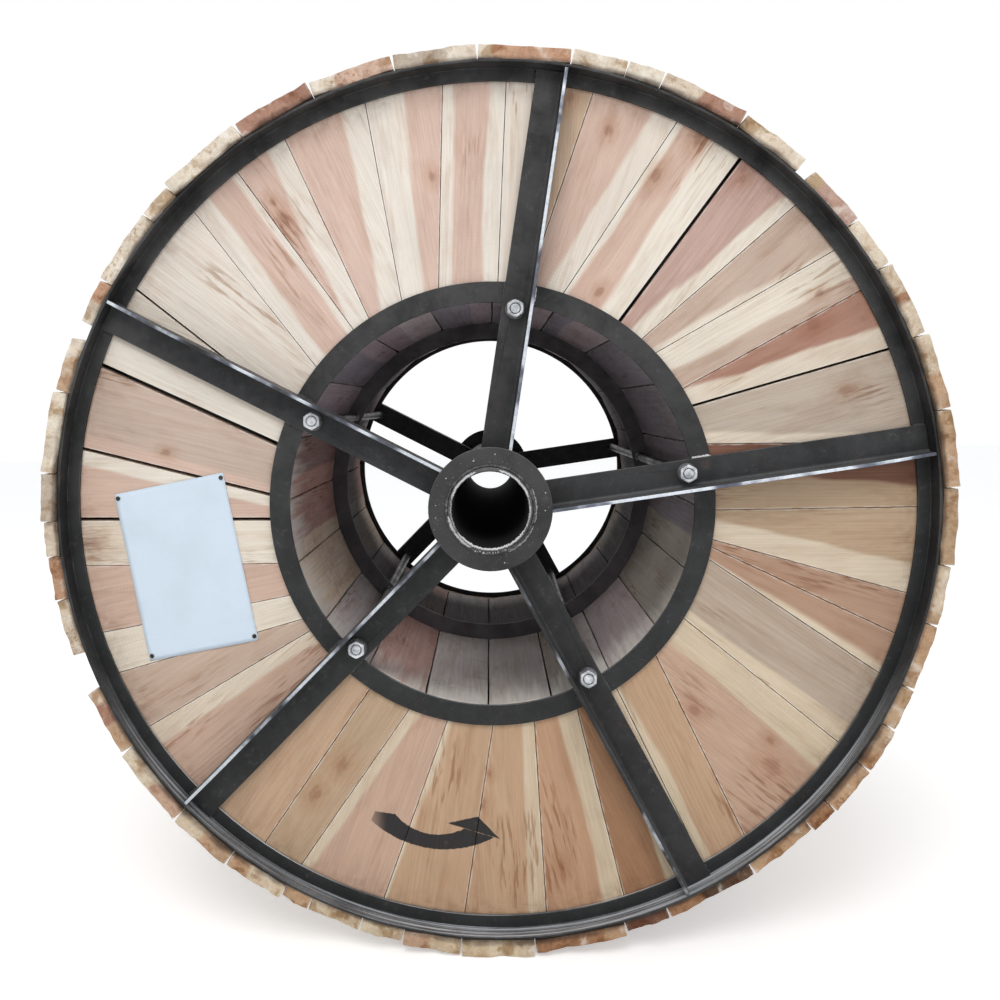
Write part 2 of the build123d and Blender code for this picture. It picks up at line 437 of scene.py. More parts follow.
class Shader:
    """A material or world with short names for adding and joining its nodes."""

    def __init__(self, name, kind="materials"):
        self.owner = getattr(bpy.data, kind).new(name)
        self.owner.use_nodes = True
        self.tree = self.owner.node_tree
        self.tree.nodes.clear()

    def put(self, value, socket):
        if isinstance(value, bpy.types.NodeSocket):
            self.tree.links.new(value, socket)
        elif value is not None:
            if socket.type == "RGBA" and len(value) == 3:
                value = (*value, 1)
            socket.default_value = value

    def node(self, kind, inputs=(), **settings):
        made = self.tree.nodes.new("ShaderNode" + kind)
        for key, value in settings.items():
            setattr(made, key, value)
        for key, value in dict(inputs).items():
            self.put(value, made.inputs[key])
        return made

    def math(self, operation, first, second=None, clamp=False):
        return self.node("Math", {0: first, 1: second}, operation=operation,
                         use_clamp=clamp).outputs[0]

    def fold(self, operation, first, others):
        for other in others:
            first = self.math(operation, first, other)
        return first

    def times(self, first, *others):
        return self.fold("MULTIPLY", first, others)

    def plus(self, first, *others):
        return self.fold("ADD", first, others)

    def least(self, first, *others):
        return self.fold("MINIMUM", first, others)

    def most(self, first, *others):
        return self.fold("MAXIMUM", first, others)

    def minus(self, first, second):
        return self.math("SUBTRACT", first, second)

    def centred(self, value, size):
        """A value from 0 to 1 spread evenly about 0."""
        return self.times(self.minus(value, 0.5), size)

    def range(self, value, low, high, to_low=0.0, to_high=1.0, smooth=True):
        return self.node("MapRange", {
            "Value": value, "From Min": low, "From Max": high, "To Min": to_low,
            "To Max": to_high}, interpolation_type="SMOOTHSTEP" if smooth else "LINEAR",
            clamp=True).outputs["Result"]

    def vector(self, operation, first, second=None):
        made = self.node("VectorMath", {0: first, 1: second}, operation=operation)
        single = operation in ("LENGTH", "DOT_PRODUCT")
        return made.outputs["Value" if single else "Vector"]

    def stretch(self, place, *scale):
        return self.vector("MULTIPLY", place, scale)

    def split(self, place):
        return self.node("SeparateXYZ", {0: place}).outputs

    def place(self):
        return self.node("TexCoord").outputs["Object"]

    def radius(self, place):
        """Distance of a place from the drum's axis."""
        return self.vector("LENGTH", self.stretch(place, 1, 0, 1))

    def outward(self, place):
        """Distance of a place from the drum's middle, along its axis."""
        return self.math("ABSOLUTE", self.split(place)["Y"])

    def attribute(self, name, output="Vector"):
        return self.node("Attribute", attribute_name=name).outputs[output]

    def noise(self, place, scale, detail=3.0, roughness=0.55, distortion=0.0):
        """Noise of one scale, or of one along each axis."""
        if isinstance(scale, tuple):
            place, scale = self.stretch(place, *scale), 1.0
        return self.node("TexNoise", {
            "Vector": place, "Scale": scale, "Detail": detail, "Roughness": roughness,
            "Distortion": distortion}).outputs["Fac"]

    def mix(self, share, first, second, way="MIX"):
        made = self.node("Mix", {0: share, 6: first, 7: second}, data_type="RGBA",
                         blend_type=way)
        return made.outputs[2]

    def coat(self, color, share, *tone):
        """Cover a colour with another one, given as seen on a screen."""
        return self.mix(share, color, srgb(*tone))

    def tint(self, color, share, tint, way="MULTIPLY"):
        """Darken a colour by a tint, or lighten it where way is SCREEN."""
        return self.mix(share, color, self.mix(1.0, color, tint, way))

    def bump(self, height, distance, before=None):
        return self.node("Bump", {"Height": height, "Distance": distance, "Strength": 1.0,
                                  "Normal": before}).outputs["Normal"]

    def seen(self):
        """1 where the camera sees a surface, straight on or in and through another."""
        rays = self.node("LightPath").outputs
        return self.most(*(rays[f"Is {kind} Ray"] for kind in ("Camera", "Glossy", "Transmission")))

    def finish(self, color, roughness, normal=None, metallic=0.0, **others):
        inputs = {"Base Color": color, "Roughness": roughness, "Metallic": metallic,
                  "Normal": normal}
        inputs.update({key.replace("_", " "): value for key, value in others.items()})
        surface = self.node("BsdfPrincipled", inputs)
        self.node("OutputMaterial", {"Surface": surface.outputs[0]})
        return self.owner


# Wood

ring_count = 300            # growth rings a metre
saw_pitch = 0.0052


def knot_marks(s, grain):
    """How strong a knot's halo and core are, and how far it bends the rings."""
    rough = s.centred(s.noise(grain, (70, 190, 60), 2), 1.5)
    halos, cores, bends = [], [], []
    for key in ("knot_a", "knot_b", "knot_c"):
        spread = s.vector("LENGTH", s.stretch(s.attribute(key), 1, 1, 0))
        spread = s.plus(spread, rough)
        halos.append(s.range(spread, 3.4, 0.6))
        cores.append(s.range(spread, 1.15, 0.25))
        bends.append(s.math("DIVIDE", 2.4, s.plus(1, s.times(spread, spread))))
    return s.most(*halos), s.most(*cores), s.plus(*bends)


def grown_wood(s, grain, fine, streak):
    """Heart and sap with growth rings, fibres and knots."""
    bounds = s.split(s.attribute("bounds"))
    wander = s.centred(s.noise(grain, (5, 26, 26), 2), 0.022)
    inside = s.plus(s.least(bounds["X"], bounds["Y"]), wander)
    color = s.mix(s.range(inside, -0.0030, 0.0045), s.attribute("sap", "Color"),
                  s.attribute("heart", "Color"))

    halo, core, bend = knot_marks(s, grain)
    rings = s.times(s.vector("LENGTH", s.stretch(grain, 0, 1, 1)), ring_count)
    drift = s.times(s.noise(grain, (1.6, 9, 9), 2), 7)
    rings = s.math("FRACT", s.plus(rings, drift, bend))
    late = s.times(s.range(rings, 0.3, 0.9), s.range(rings, 1.0, 0.93))
    broad = s.range(s.noise(grain, (2.2, 42, 42), 2, 0.6), 0.50, 0.72)
    stain = s.mix(1.0, color, (0.82, 0.71, 0.63), "MULTIPLY")
    for strength in (s.times(broad, 0.55 * streak), s.times(late, 0.42 * streak)):
        color = s.mix(strength, color, stain)

    fibre = s.noise(grain, (60, 1500, 1500), 1, 0.6)
    cloud = s.noise(grain, (7, 17, 17), 2)
    lift = s.plus(s.times(fine, 0.30 * streak + 0.08), 0.94 - 0.15 * streak,
                  s.centred(fibre, 0.16), s.centred(cloud, 0.24))
    lift = s.node("CombineXYZ", {0: lift, 1: lift, 2: lift}).outputs[0]
    color = s.mix(1.0, color, lift, "MULTIPLY")
    color = s.tint(color, s.times(halo, 0.5), (0.76, 0.60, 0.50))
    return s.coat(color, s.times(core, 0.48), 138, 94, 72)


def saw_marks(s, grain):
    """Ridges that the saw left across the grain, here and there."""
    x, y, _ = s.split(grain)
    wobble = s.times(s.noise(grain, (12, 30, 30), 1), 9)
    slanted = s.plus(x, s.times(y, 0.12))
    marks = s.math("SINE", s.plus(s.times(slanted, 2 * pi / saw_pitch), wobble))
    return s.times(marks, s.range(s.noise(grain, (5, 9, 9), 0), 0.42, 0.62))


def weathered_and_highlit(s, color, grain, wear_and_highlight, mottle):
    """Brown patches, dark dashes along the grain, and pale worn edges with a painted highlight."""
    patches = s.range(s.noise(grain, (8, 38, 38), 3, 0.65), 0.50, 0.68)
    color = s.tint(color, s.times(patches, mottle), (0.72, 0.61, 0.54))
    dashes = s.range(s.noise(grain, (16, 150, 150), 2, 0.65), 0.50, 0.64)
    where = s.range(s.noise(grain, (4, 13, 13), 1), 0.56, 0.70)
    color = s.tint(color, s.times(dashes, where, 0.75), (0.56, 0.42, 0.33))
    # Pale worn edges, partly a painted highlight, along each board's sides.
    worn = s.range(s.attribute("side", "Fac"), 0.0030, 0.0004)
    chipped = s.range(s.noise(grain, (55, 300, 300), 1), 0.40, 0.58)
    return s.tint(color, s.times(worn, chipped, 0.55 * wear_and_highlight), (0.93, 0.88, 0.80), "SCREEN")


def soiled_and_shaded(s, color, place, cover, specks, soil_and_shade):
    """Dirt beside the rim and the ring, and a little everywhere, and painted shade that darkens the
    wood toward the rim.
    """
    radius = s.radius(place)
    rim_dirt = s.times(s.range(radius, 0.590, 0.625), s.range(cover, 0.34, 0.60))
    ring_dirt = s.times(s.range(radius, 0.36, 0.333), s.range(cover, 0.42, 0.7))
    dirt = s.most(rim_dirt, ring_dirt, s.times(s.range(cover, 0.58, 0.80), 0.6))
    dirt = s.times(dirt, s.range(specks, 0.35, 0.70), 0.55 * soil_and_shade)
    color = s.tint(color, dirt, (0.52, 0.45, 0.40))
    # Painted shade: a smooth darkening from 0.50 m out toward the rim.
    shade = s.times(s.range(radius, 0.50, 0.63), 0.28 * soil_and_shade)
    return s.tint(color, shade, (0.78, 0.74, 0.70))


def wood(name, streak, saw, soil_and_shade, wear_and_highlight, mottle, extra):
    """Sawn softwood, from the grain data on the mesh.

    streak, saw, soil, wear and mottle say how strong the grain, the saw marks, the dirt and
    the painted shade toward the rim, the pale worn edges with their painted highlight, and
    the brown patches are. extra paints over the finished colour."""
    s = Shader(name)
    grain = s.attribute("grain")
    place = s.place()
    fine = s.noise(grain, (9, 240, 240), 2, 0.6)
    specks = s.noise(place, 55, 3, 0.7)
    cover = s.noise(place, 9, 3, 0.62)
    color = grown_wood(s, grain, fine, streak)
    color = weathered_and_highlit(s, color, grain, wear_and_highlight, mottle)
    color = soiled_and_shaded(s, color, place, cover, specks, soil_and_shade)
    color = extra(s, color, place, cover, specks)
    normal = s.bump(fine, 0.0009, s.bump(saw_marks(s, grain), 0.00012 * saw))
    return s.finish(color, s.range(fine, 0.2, 0.8, 0.92, 0.72), normal, Specular_IOR_Level=0.25)


# Painted arrow that shows which way to roll the drum, on the front planks
arrow_outer = ((-0.0786, -0.3641), 0.1630)      # circle along the band's lower edge
arrow_inner = ((-0.0879, -0.4192), 0.0846)      # circle along its upper edge
arrow_tail = ((-0.1915, -0.4813), (-0.1850, -0.4673), (-0.1513, -0.4727))
arrow_base = ((-0.0750, -0.4860), (0.0054, -0.5107))
arrow_tip = (-0.0270, -0.4760)


def right_of(s, x, z, first, second):
    """How far right a place lies of the line from one point to another, looking along it."""
    (x1, z1), (x2, z2) = first, second
    run = hypot(x2 - x1, z2 - z1)
    a, b = (z2 - z1) / run, -(x2 - x1) / run
    return s.minus(s.plus(s.times(x, a), s.times(z, b)), a * x1 + b * z1)


def disc(s, place, centre, radius):
    """How far inside a circle on the flange a place lies."""
    flat = s.vector("SUBTRACT", s.stretch(place, 1, 0, 1), (centre[0], 0, centre[1]))
    return s.minus(radius, s.vector("LENGTH", flat))


def arrow(s, color, place, cover, specks):
    x, y, z = s.split(place)
    band = s.least(disc(s, place, *arrow_outer), s.minus(0, disc(s, place, *arrow_inner)),
                   right_of(s, x, z, *arrow_tail[:2]), right_of(s, x, z, *arrow_tail[1:]),
                   right_of(s, x, z, *arrow_base))
    head = s.least(right_of(s, x, z, *reversed(arrow_base)),
                   right_of(s, x, z, arrow_base[0], arrow_tip),
                   right_of(s, x, z, arrow_tip, arrow_base[1]))
    inside = s.plus(s.most(band, head), s.centred(s.noise(place, 160, 4, 0.7), 0.004))
    faded = s.range(x, arrow_tail[0][0] - 0.004, arrow_tail[0][0] + 0.026, 0.55, 0.0)
    faded = s.plus(faded, s.times(s.range(specks, 0.58, 0.8), 0.12))
    paint = s.times(s.range(inside, -0.0006, 0.0008), s.math("SUBTRACT", 1, faded, clamp=True),
                    s.range(y, -0.4190, -0.4210))
    return s.coat(color, paint, 50, 48, 48)


def board_ends(s, color, place, cover, specks):
    """Brown patches and pale splinters on the lagging boards' ends, and painted shade on the ends just
    outside the rim.
    """
    outward = s.outward(place)
    ends = s.range(outward, 0.418, 0.426)
    patch = s.noise(place, 30, 4, 0.6, 0.3)
    color = s.tint(color, ends, (1.0, 0.98, 0.93))
    brown = s.times(s.range(patch, 0.53, 0.66), ends, 0.75)
    color = s.tint(color, brown, (0.54, 0.40, 0.25))
    pale = s.times(s.range(patch, 0.46, 0.32), ends, 0.45)
    color = s.tint(color, pale, (0.80, 0.76, 0.68), "SCREEN")
    # Painted shade: a dark band on the board ends next to the rim.
    painted_gap_shade = s.times(s.range(s.radius(place), 0.6590, 0.6520), s.range(cover, 0.30, 0.55),
                    s.range(outward, 0.40, 0.43), 0.75)
    return s.coat(color, painted_gap_shade, 62, 50, 44)


def barrel_shade(s, color, place, cover, specks):
    """Pale dust behind the near ring, and painted shade toward the rear."""
    y = s.split(place)["Y"]
    lower_left = s.vector("DOT_PRODUCT", place, (0.5, 0, 1))
    lower_left = s.range(lower_left, 0.06, -0.18, 0.12, 1.0)
    streaks = s.noise(place, (75, 5, 75), 4, 0.6)
    reach = s.range(y, -0.22, -0.40, 0.0, 0.42, smooth=False)
    dusty = s.times(s.range(s.plus(streaks, reach), 0.60, 1.00), lower_left, 0.8)
    color = s.coat(color, dusty, 230, 225, 218)
    # Painted shade: the staves from the barrel's middle to near the rear ring are darkened almost to
    # black.
    dark = s.times(s.range(y, 0.0, 0.02), s.range(y, 0.40, 0.27), 0.94)
    return s.tint(color, dark, (0.08, 0.07, 0.08))


# Steel and other materials

def dust_and_top_light(s, color, place, up, cover, grit, dust):
    """Dust on what faces up, also a painted light from above, and pale bluish streaks low on the drum
    that are painted highlights.
    """
    # Paler on what faces up: dust, and also painted light from above.
    settled_and_lit = s.times(s.range(up, 0.15, 0.8), s.range(cover, 0.25, 0.65, 0.50, 1.0),
                      s.range(grit, 0.3, 0.7, 0.6, 1.0), dust)
    color = s.coat(color, settled_and_lit, 128, 129, 131)
    # Painted highlight: pale bluish streaks on up-facing faces low on the drum.
    streaks = s.times(s.range(s.noise(place, (3, 330, 3), 2, 0.6), 0.48, 0.60),
                      s.range(up, 0.2, 0.7), s.range(s.split(place)["Z"], -0.25, -0.40),
                      0.85 * dust)
    return s.coat(color, streaks, 204, 209, 216)


def rubbed_edge_and_highlight(s, color, place, flat, bare):
    """Rubbed bare metal on a standing leg's outer edge, given a near-white bluish painted highlight,
    and where it is.
    """
    gaps = s.noise(place, 13, 3, 0.6)
    thin = s.noise(place, 210, 2, 0.7)
    rubbed = s.times(s.range(s.outward(place), 0.4410, 0.4430),
                     s.range(s.outward(flat), 0.35, 0.60),
                     s.range(gaps, 0.66 - 0.4 * bare, 0.78 - 0.3 * bare),
                     s.range(thin, 0.30, 0.60, 0.80, 1.0))
    # Painted highlight: the rubbed metal takes a near-white bluish colour.
    light = s.mix(s.range(gaps, 0.42, 0.66 - 0.1 * bare), srgb(118, 124, 140),
                  srgb(222, 228, 236))
    return s.mix(s.times(rubbed, 0.25 + 0.75 * bare), color, light), rubbed


def painted_steel(name, grey, dust, bare=0.0, extra=None):
    """Old dark paint on steel: chips at the edges, dust, scratches and a little rust, with painted
    light that makes it paler higher up and on what faces up.

    bare is how far the outer edge of a standing leg is rubbed to bright metal and given a painted
    highlight."""
    s = Shader(name)
    place = s.place()
    flat = s.node("NewGeometry").outputs["Normal"]
    cover = s.noise(place, 14, 4, 0.62)
    grit = s.noise(place, 260, 2, 0.7)
    fleck = s.noise(place, 70, 4, 0.75)
    base = srgb(*grey)
    color = s.mix(s.range(cover, 0.35, 0.7), [c * 0.70 for c in base], [c * 1.35 for c in base])
    color = s.coat(color, s.times(s.range(fleck, 0.58, 0.72), 0.30), 92, 90, 90)
    # Painted light: the paint is paler higher up on the drum.
    painted_upper_light = s.times(s.range(s.split(place)["Z"], -0.2, 0.45), s.range(cover, 0.3, 0.6), 0.16)
    color = s.coat(color, painted_upper_light, 120, 118, 116)
    color = dust_and_top_light(s, color, place, s.split(flat)["Z"], cover, grit, dust)

    corner = s.node("Bevel", {"Radius": 0.0022}, samples=2).outputs[0]
    turn = s.minus(1, s.vector("DOT_PRODUCT", corner, flat))
    edge = s.times(s.range(s.plus(turn, s.times(fleck, 0.10)), 0.10, 0.20),
                   s.range(cover, 0.42, 0.62))
    color = s.coat(color, s.times(edge, 0.55), 128, 127, 128)
    rust = s.times(s.range(s.noise(place, 23, 4, 0.7), 0.60, 0.72), s.range(grit, 0.35, 0.6))
    color = s.coat(color, s.times(rust, 0.45), 88, 60, 46)
    shine = s.times(edge, 0.4)
    if bare:
        color, rubbed = rubbed_edge_and_highlight(s, color, place, flat, bare)
        shine = s.most(shine, s.times(rubbed, 0.4))
    dull = 0.0
    if extra is not None:
        color, grit, dull = extra(s, color, place, grit, fleck)
    normal = s.bump(cover, 0.0009, s.bump(grit, 0.00025))
    roughness = s.most(s.range(fleck, 0.3, 0.75, 0.66, 0.46), dull)
    return s.finish(color, roughness, normal, shine, Specular_IOR_Level=0.35)


def hub_marks(s, color, place, grit, fleck):
    """Weld spatter on the hub's plate, its rough light tube end, and painted shade that makes the
    inside of its tube near black.
    """
    radius = s.radius(place)
    drops = s.node("TexVoronoi", {"Vector": place, "Scale": 230.0}, feature="F1")
    drops = s.times(s.range(drops.outputs["Distance"], 0.28, 0.14),
                    s.range(fleck, 0.48, 0.62), s.range(radius, 0.092, 0.066, 0.1, 1.0))
    color = s.coat(color, s.times(drops, 0.35), 140, 140, 142)
    bared = s.times(s.range(s.outward(place), hub_face + 0.0005, hub_face + 0.0020),
                    s.range(fleck, 0.30, 0.60, 0.35, 1.0), 0.6)
    color = s.coat(color, bared, 104, 104, 106)
    # Painted shade: the inside of the hub's tube is painted near black.
    painted_bore_shade = s.range(radius, 0.0566, 0.0556)
    return s.coat(color, painted_bore_shade, 6, 6, 7), s.plus(grit, s.times(drops, 2.5)), painted_bore_shade


def plain_metal(name, light, dark, metallic, roughness, scale=90.0):
    """Metal with a soft change of tone, fine grit and uneven shine."""
    s = Shader(name)
    place = s.place()
    cloud = s.noise(place, scale * 0.35, 5, 0.62)
    grit = s.noise(place, scale * 4, 4, 0.7)
    color = s.mix(s.range(cloud, 0.32, 0.68), srgb(*dark), srgb(*light))
    color = s.coat(color, s.times(s.range(grit, 0.5, 0.75), 0.3), *dark)
    normal = s.bump(cloud, 0.0006, s.bump(grit, 0.0002))
    return s.finish(color, s.range(cloud, 0.3, 0.7, roughness + 0.1, roughness - 0.08),
                    normal, metallic)


def welded_metal():
    """Weld metal under thin dark paint, bare where the mesh says it is light."""
    s = Shader("weld_metal")
    place = s.place()
    cloud = s.noise(place, 120, 5, 0.7)
    grit = s.noise(place, 700, 4, 0.7)
    light = s.plus(s.attribute("light", "Fac"), s.minus(cloud, 0.5))
    color = s.mix(s.range(light, 0.15, 0.85), srgb(54, 54, 55), srgb(204, 204, 206))
    color = s.coat(color, s.times(s.range(grit, 0.5, 0.7), 0.4), 84, 80, 78)
    normal = s.bump(cloud, 0.0006, s.bump(grit, 0.0003))
    return s.finish(color, s.range(grit, 0.3, 0.7, 0.6, 0.42), normal, 0.2)


def cable_sheath():
    """Black plastic sheath, dusty, with dull scuffs."""
    s = Shader("cable_sheath")
    place = s.place()
    scuff = s.noise(s.stretch(place, 3, 30, 3), 6, 5, 0.65)
    dust = s.noise(place, 30, 5, 0.6)
    color = s.mix(s.range(scuff, 0.4, 0.75), srgb(24, 24, 26), srgb(52, 50, 50))
    color = s.coat(color, s.times(s.range(dust, 0.5, 0.8), 0.5), 120, 108, 94)
    return s.finish(color, s.range(scuff, 0.3, 0.7, 0.5, 0.7), s.bump(scuff, 0.0004))


def paper():
    """Thin bluish paper, crumpled and a little soiled."""
    s = Shader("paper")
    place = s.place()
    crease = s.noise(place, 22, 6, 0.6, 0.6)
    fibre = s.noise(place, 900, 3, 0.6)
    stain = s.noise(place, 12, 5, 0.6)
    color = s.mix(s.range(stain, 0.42, 0.75), srgb(212, 226, 240), srgb(206, 220, 232))
    color = s.coat(color, s.times(s.range(crease, 0.55, 0.75), 0.25), 196, 208, 222)
    normal = s.bump(crease, 0.0012, s.bump(fibre, 0.00004))
    return s.finish(color, s.range(fibre, 0.3, 0.7, 0.75, 0.6), normal)


# Planks of the flanges, as the photo shows them

# One row a plank, from the joint after up: tone of the heartwood, tone of the rest, and
# the heart's first and last side as angles at the rim and at the ring, or None at a joint
plank_looks = (
    ("tan", "cream", (10.5, 8.5), None), ("pink", "cream", None, (23.6, 15.5)),
    ("pink", "pale", (28.0, 21.2), (32.1, 30.5)), ("mauve", "pale", None, (44.6, 39.5)),
    ("fawn", "cream", None, (53.8, 47.2)), ("fawn", "pale", (58.6, 54.0), None),
    ("red", "cream", None, (66.5, 59.7)), ("grey", "cream", None, (81.0, 72.5)),
    ("dark_red", "olive", None, (88.4, 80.5)), ("olive", "cream", None, (99.0, 94.6)),
    ("dun", "cream", None, None), ("dun", "cream", None, (112.9, 104.3)),
    ("grey", "cream", None, (122.7, 119.3)), ("pink", "cream", (129.4, 128.6), None),
    ("tan", "cream", None, (148.8, 145.3)), ("brown", "cream", (155.5, 152.0), None),
    ("orange", "cream", (165.0, 163.5), None), ("tan", "cream", (175.8, 172.4), None),
    ("tan", "cream", None, (195.8, 190.5)), ("pink", "cream", None, (207.4, 199.6)),
    ("olive", "cream", None, None), ("tan", "cream", None, None),
    ("pink", "cream", None, (235.0, 232.4)), ("fawn", "cream", None, None),
    ("pale", "cream", None, None), ("pink", "pale", None, None),
    ("pale", "cream", None, None), ("pink", "pale", None, (276.5, 270.5)),
    ("fawn", "pink", (281.0, 276.0), None), ("pale", "cream", None, (296.0, 290.5)),
    ("cream", "pale", None, None), ("pink", "cream", (318.6, 312.5), (322.9, 322.0)),
    ("pink", "cream", None, (329.0, 322.8)), ("pink", "cream", None, (340.5, 331.8)),
    ("pink", "cream", (349.5, 343.5), None), ("pink", "cream", (356.1, 351.4), (361.0, 359.2)))
plank_start = 7.2           # middle of the first row's plank

# Angle, radius and half width of each knot
plank_knots = (
    (12.1, 0.613, 0.008), (18.5, 0.581, 0.007), (27.5, 0.544, 0.010), (27.9, 0.356, 0.007),
    (30.6, 0.620, 0.010), (38.7, 0.607, 0.008), (61.7, 0.545, 0.009), (73.0, 0.553, 0.011),
    (58.0, 0.575, 0.006), (108.4, 0.431, 0.016), (131.1, 0.547, 0.006), (133.8, 0.575, 0.013),
    (136.2, 0.434, 0.008), (170.0, 0.560, 0.007), (181.3, 0.410, 0.005), (182.6, 0.457, 0.007),
    (195.1, 0.473, 0.008), (206.6, 0.370, 0.011), (210.6, 0.460, 0.011), (212.0, 0.520, 0.010),
    (265.3, 0.612, 0.018), (280.2, 0.500, 0.006), (325.2, 0.530, 0.011), (325.5, 0.560, 0.006),
    (351.1, 0.498, 0.007))
knot_length = 1.5           # length of a knot along the grain over its width


def side_of(angles, sign):
    """Distance to one side of the straight line through two angles at rim and ring."""
    outer = polar(rim_inner, angles[0], 0)
    inner = polar(ring_outer, angles[1], 0)
    run = (outer - inner).normalized()
    normal = np.array((run.z, 0, -run.x)) * sign
    start = np.array(inner)
    return lambda points: (points - start) @ normal


def knot_at(angle, radius, size):
    """Place relative to a knot, along and across the radial line, in half widths."""
    a = radians(angle)
    out = np.array((sin(a), 0, cos(a)))
    over = np.array((cos(a), 0, -sin(a)))

    def place(points):
        near = points - out * radius
        long = size * knot_length
        return np.stack([near @ out / long, near @ over / size, np.zeros(len(points))], 1)

    return place


def planks(end, material):
    """One flange's planks."""
    node = "flange_planks_" + end
    blocks = blocks_from(node, True, plank_start)
    looks = []
    for index, (corners, angle) in enumerate(blocks):
        left, right = (angle_of(*corners[1, side].mean(0)[[0, 2]]) for side in (0, 1))
        heart, sap, first, last = plank_looks[index]
        knots = [knot_at(*knot) for knot in plank_knots
                 if turn_between(left, knot[0]) > 0 and turn_between(knot[0], right) > 0]
        looks.append(look_of((heart, sap), angle, 1000 + index + 500 * (end == "rear"),
                             (first and side_of(first, 1), last and side_of(last, -1)), knots))
    boards("planks_" + end, "plank_wood", node, material, blocks, looks, (34, 12, 6), 0.0006,
           (0.0, 0.0002, 0.0006))


# Lagging boards, one row a board from the one that starts at 11.3 degrees: tones of its
# heart and of the rest, and the heart's first and last angle, or None at a side
lagging_looks = (
    ("cream", "pale", None, None), ("pale", "cream", None, None),
    ("red", "cream", 28.0, None), ("cream", "olive", 36.0, None),
    ("mauve", "olive", 46.5, None), ("pale", "cream", None, None),
    ("brown", "cream", 63.0, 64.5), ("cream", "tan", None, 74.0),
    ("tan", "olive", 82.5, None), ("olive", "cream", None, None),
    ("cream", "olive", None, 103.5), ("tan", "olive", None, 113.0),
    ("olive", "cream", None, None), ("olive", "tan", None, 123.5),
    ("tan", "cream", None, None), ("brown", "tan", None, None),
    # The dark tones of the boards from 145 to 163 degrees are painted shade.
    ("tan", "olive", 138.5, None), ("dark_brown", "brown", None, 152.5),
    ("dark_red", "dark_brown", None, None), ("brown", "tan", 166.0, None),
    ("pale", "cream", None, 181.5), ("cream", "pink", None, 189.0),
    ("pale", "cream", None, None), ("cream", "pale", None, 203.5),
    ("tan", "cream", None, None), ("cream", "tan", None, 214.5),
    ("tan", "cream", None, 222.5), ("pink", "pale", None, 231.5),
    ("red", "tan", 241.0, 244.0), ("cream", "pale", None, None),
    ("orange", "cream", None, None), ("cream", "pale", None, None),
    ("grey", "tan", None, None), ("pale", "cream", None, None),
    ("tan", "cream", None, 291.0), ("orange", "cream", 298.5, None),
    ("pale", "cream", None, None), ("cream", "grey", None, None),
    ("pale", "cream", None, None), ("red", "pink", None, None),
    ("pink", "pale", 341.0, None), ("grey", "cream", None, 355.5),
    ("orange", "cream", 1.0, None))
lagging_start = 14.8        # middle of the first row's board


def radial_side(angle, sign):
    """Distance to one side of the plane through the axis at an angle."""
    a = radians(angle)
    normal = np.array((cos(a), 0, -sin(a))) * sign
    return lambda points: points @ normal


def lagging(material):
    """Boards round the coil, sawn off roughly at both ends."""
    blocks = blocks_from("lagging_boards", False, lagging_start)
    looks = []
    for index, (heart, sap, first, last) in enumerate(lagging_looks):
        sides = first and radial_side(first, 1), last and radial_side(last, -1)
        looks.append(look_of((heart, sap), blocks[index][1], 3000 + index, sides))
    boards("lagging_boards_sawn", "lagging_wood", "lagging_boards", material, blocks, looks,
           (44, 16, 7), 0.0012, (0.0062, 0.0003, 0.0024), extra=0.0007)


# Tones of the staves clockwise from the joint after up
stave_looks = (
    ("slate", "lilac"), ("slate", "lilac"), ("slate", "slate"), ("slate", "slate"),
    ("slate", "slate"), ("slate", "moss"), ("moss", "moss"), ("lilac", "lilac"),
    ("ash", "moss"), ("ash", "ash"), ("ash", "ash"), ("rose", "rose"),
    ("lilac", "ash"), ("sand", "sand"), ("sand", "rose"), ("rose", "umber"),
    ("lilac", "lilac"), ("slate", "lilac"), ("lilac", "ash"), ("slate", "lilac"))
stave_start = 10.6          # middle of the first row's stave


def staves(material):
    """Boards of the barrel, each with its sap on one side of a line near its middle."""
    blocks = blocks_from("barrel_staves", False, stave_start)
    looks = []
    for index, (_, angle) in enumerate(blocks):
        split = angle + Random(7000 + index).uniform(-4, 4)
        looks.append(look_of(stave_looks[index], angle, 5000 + index,
                             (None, radial_side(split, -1))))
    boards("staves", "stave_wood", "barrel_staves", material, blocks, looks, (40, 12, 6),
           0.0012, (0.0, 0.0012, 0.0))


# Turned and swept pieces

nut_width = 0.024           # across its flats
ripple = 0.0042             # length of a ripple of a weld run
weld_steps, weld_stray = 26, 0.0006


def turned_part(rows, sides, centre, outward):
    """Closed part from rows of radius and height about a line along Y. A radius may be a
    function of the angle. outward is -1 for the front flange and 1 for the rear."""
    vertices = []
    for radius, height in rows:
        for a in circle(sides):
            r = radius(a) if callable(radius) else radius
            vertices.append((centre[0] + r * cos(a), outward * height, centre[1] + r * sin(a)))
    faces = tube(len(rows), sides)
    return vertices, flip(faces) if outward > 0 else faces


def hexagon(limit):
    """Radius of a nut at an angle, cut back by a chamfer to a circle."""
    def radius(angle):
        return min(nut_width / 2 / cos((angle + pi / 6) % (pi / 3) - pi / 6), limit)
    return radius


def swept(path, radius, closed, sides=8):
    """Tube along points, its radius a function of the share of its length."""
    vertices = []
    count = len(path)
    for index, point in enumerate(path):
        before = path[index - 1] if closed or index else path[0]
        after = path[(index + 1) % count] if closed or index < count - 1 else path[-1]
        run = (after - before).normalized()
        first = run.cross(Vector((0, 1, 0))).normalized()
        second = first.cross(run)
        r = radius(index / (count if closed else count - 1))
        vertices += [point + first * r * cos(a) + second * r * sin(a) for a in circle(sides)]
    return vertices, quads(count, sides, True, True) if closed else tube(count, sides)


